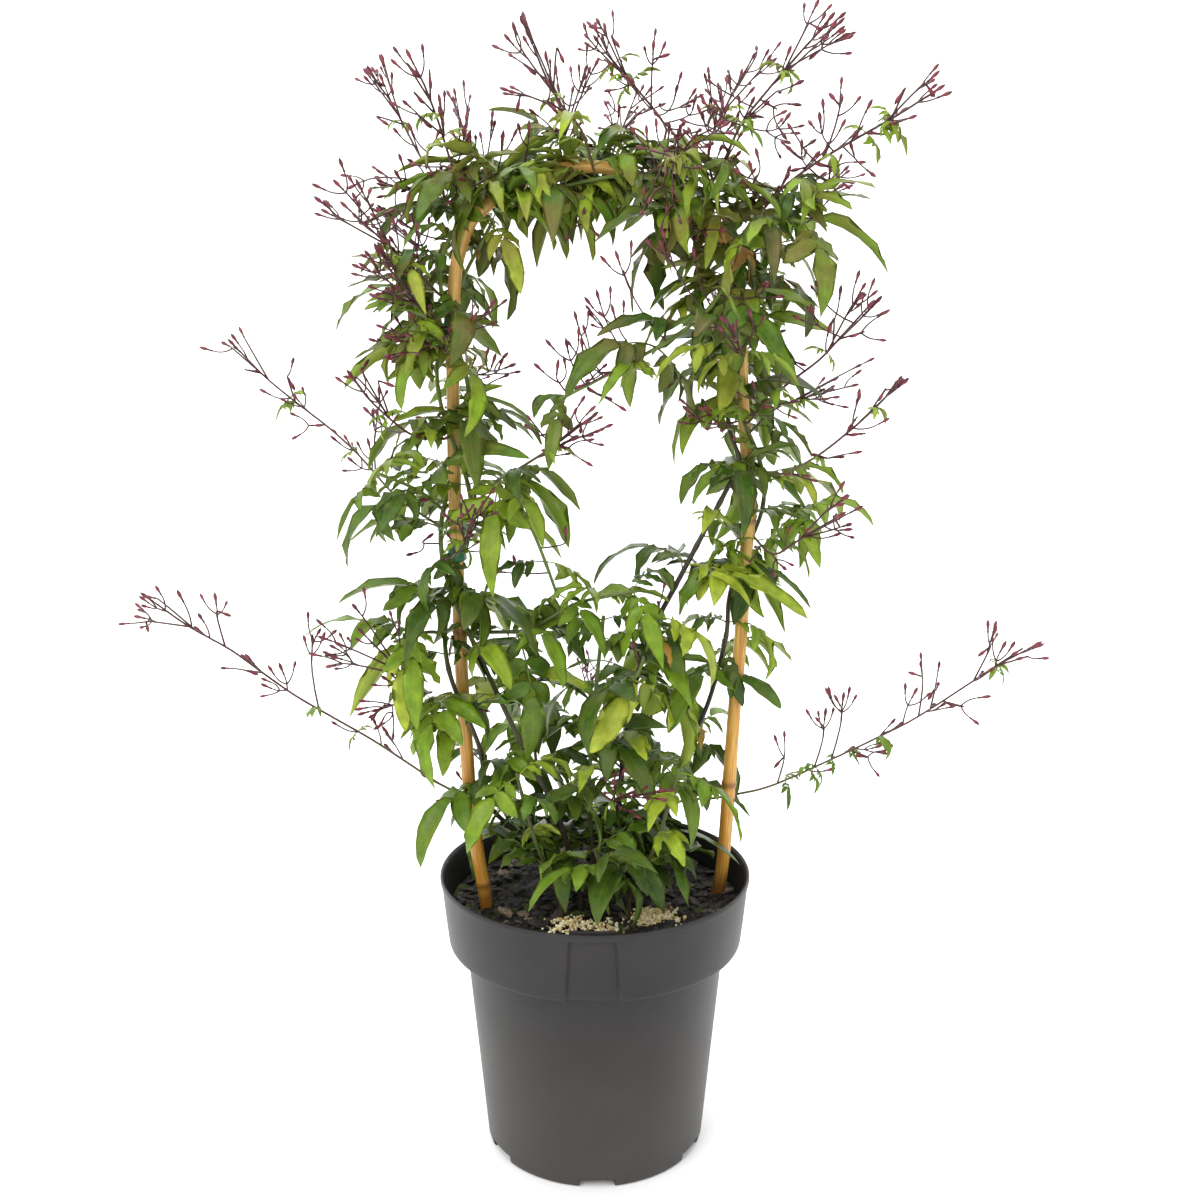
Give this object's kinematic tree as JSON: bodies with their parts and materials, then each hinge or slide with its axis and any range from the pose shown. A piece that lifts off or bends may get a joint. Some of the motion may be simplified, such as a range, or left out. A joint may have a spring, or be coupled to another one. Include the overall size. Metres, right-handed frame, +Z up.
{
  "type": "potted climbing plant",
  "caption": "Jasmine in a dark plastic nursery pot, trained up a bent bamboo hoop, with pinnate leaves and sprays of red-purple buds.",
  "frame": {"origin": "on the floor, under the middle of the pot", "axes": "+Z up; -Y is the front, towards the side with the pot's label recess; +X is to the right of a viewer at the front"},
  "size_m": [0.615, 0.2724, 0.781],
  "materials": {
    "pot_plastic": "moulded, dark warm grey, satin",
    "potting_mix": "loose dark bark and peat",
    "feed_granules": "dull cream grains",
    "bamboo": "dried cane, golden tan, satin",
    "green_tie": "dark green tape",
    "foliage": "fresh leaves and green stems, softly glossy",
    "flowering_shoot": "fresh red-purple stalks and buds"
  },
  "bodies": {
    "root": {"pot": "pot_plastic", "potting_mix": "potting_mix", "feed_granules_left": "feed_granules", "feed_granules_right": "feed_granules", "bamboo_hoop": "bamboo", "green_tie_1": "green_tie", "green_tie_2": "green_tie", "green_tie_3": "green_tie", "green_tie_4": "green_tie", "vine_left_front": "foliage", "vine_left_over": "foliage", "vine_right_diagonal": "foliage", "vine_right_back": "foliage", "mound_centre": "foliage", "mound_left": "foliage", "mound_right": "foliage", "mound_back_left": "foliage", "mound_back_right": "foliage", "mound_front": "foliage", "mound_mid": "foliage", "window_left": "foliage", "window_cross": "foliage", "window_top": "foliage", "left_out": "foliage", "left_out_low": "foliage", "right_out": "foliage", "shoulder_right": "foliage", "buds_left_low": "flowering_shoot", "buds_left_second": "flowering_shoot", "buds_left_upper": "flowering_shoot", "buds_left_mid": "flowering_shoot", "buds_left_fore": "flowering_shoot", "buds_shoulder_left": "flowering_shoot", "buds_shoulder_left_back": "flowering_shoot", "buds_shoulder_left_fore": "flowering_shoot", "buds_top_left": "flowering_shoot", "buds_top_left_fore": "flowering_shoot", "buds_top_left_back": "flowering_shoot", "buds_top_mid_left": "flowering_shoot", "buds_top_mid_back": "flowering_shoot", "buds_top_mid": "flowering_shoot", "buds_top_right": "flowering_shoot", "buds_top_right_back": "flowering_shoot", "buds_right_high": "flowering_shoot", "buds_right_high_back": "flowering_shoot", "buds_right_upper": "flowering_shoot", "buds_right_upper_back": "flowering_shoot", "buds_right_middle": "flowering_shoot", "buds_right_lower": "flowering_shoot", "buds_right_low": "flowering_shoot", "buds_fore_left": "flowering_shoot", "buds_fore_right": "flowering_shoot", "buds_fore_right_low": "flowering_shoot", "buds_back_left": "flowering_shoot", "buds_back_right": "flowering_shoot", "buds_back_top": "flowering_shoot", "buds_back_low": "flowering_shoot", "buds_mound_bud": "flowering_shoot", "buds_window_bud": "flowering_shoot"}
  },
  "joints": []
}
